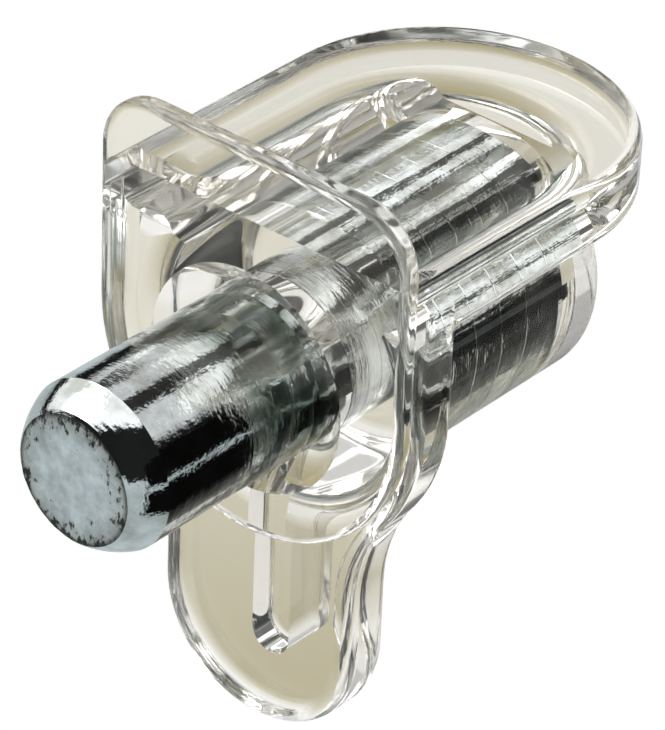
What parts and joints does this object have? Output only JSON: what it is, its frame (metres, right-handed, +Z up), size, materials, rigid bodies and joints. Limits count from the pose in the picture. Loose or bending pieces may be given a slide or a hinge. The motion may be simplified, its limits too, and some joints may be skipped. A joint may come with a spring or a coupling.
{
  "type": "shelf support pin",
  "caption": "Plug-in shelf support: a steel pin for a hole in a cabinet side, in a clear plastic housing with an upright lip, a round-ended shelf plate, a sleeve and a downward tongue.",
  "frame": {"origin": "on the pin's axis, in the plane of the flange's front face, which lies against the cabinet side", "axes": "+X across, +Y along the pin away from the cabinet side, +Z up; the pin's free end points towards -Y"},
  "size_m": [0.0108, 0.0205, 0.0188],
  "materials": {
    "steel_pin": "bright zinc plating",
    "housing": "clear, polished"
  },
  "bodies": {
    "root": {"steel_pin": "steel_pin", "housing": "housing"}
  },
  "joints": []
}
